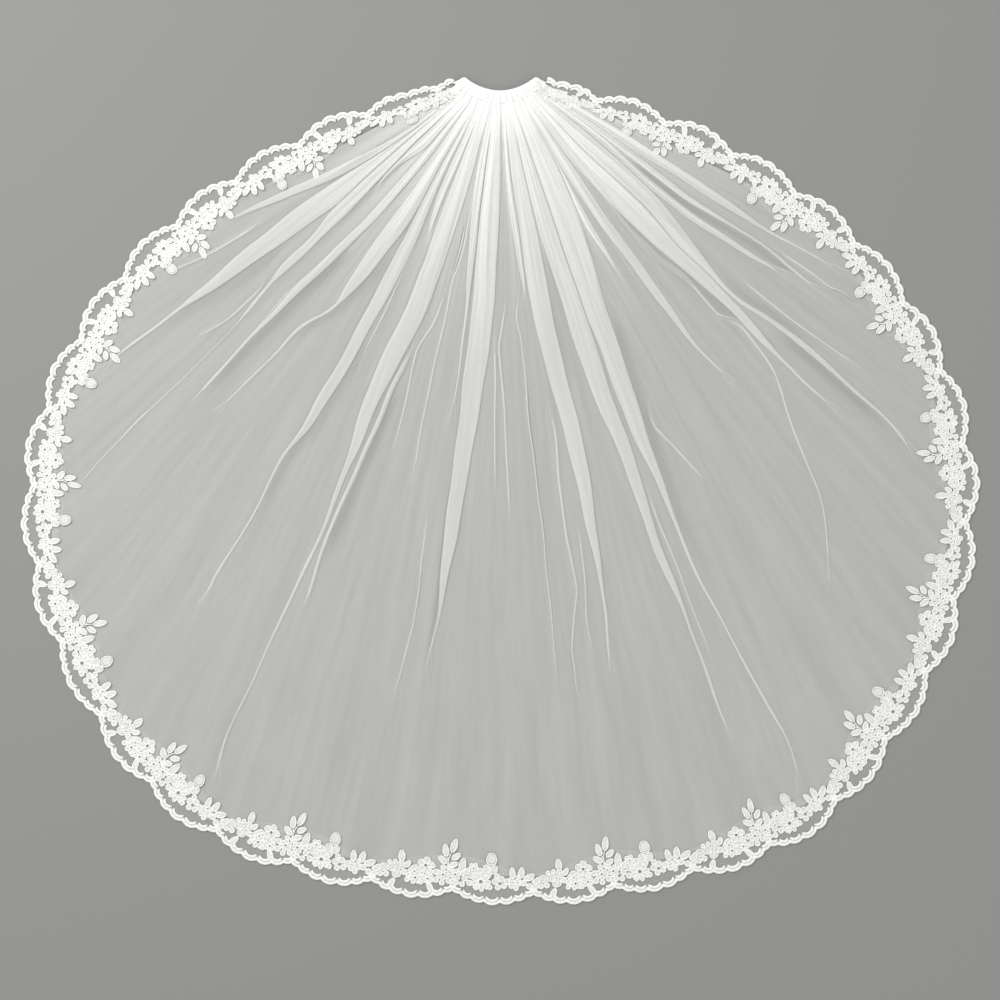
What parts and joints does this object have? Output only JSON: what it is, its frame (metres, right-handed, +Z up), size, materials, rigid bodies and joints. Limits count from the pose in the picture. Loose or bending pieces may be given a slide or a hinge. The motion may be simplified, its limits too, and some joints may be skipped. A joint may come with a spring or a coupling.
{
  "type": "bridal veil laid flat",
  "caption": "Elbow-length bridal veil laid flat in a fan: sheer net gathered to a hollow heading over a hair comb, with folds fanning out and scalloped lace round the sides and hem.",
  "frame": {"origin": "middle of the part's box on the surface that it lies on", "axes": "+Z up off the surface; +Y from the hem towards the gathered heading; +X to the right when seen from above with the heading at the top"},
  "size_m": [1.0856, 0.9449, 0.0095],
  "materials": {
    "net": "matte",
    "lace": "satin",
    "binding": "satin",
    "comb": "gloss"
  },
  "bodies": {
    "root": {"tulle_panel": "net", "lace_trim": "lace", "heading_binding": "binding", "comb": "comb"}
  },
  "joints": []
}
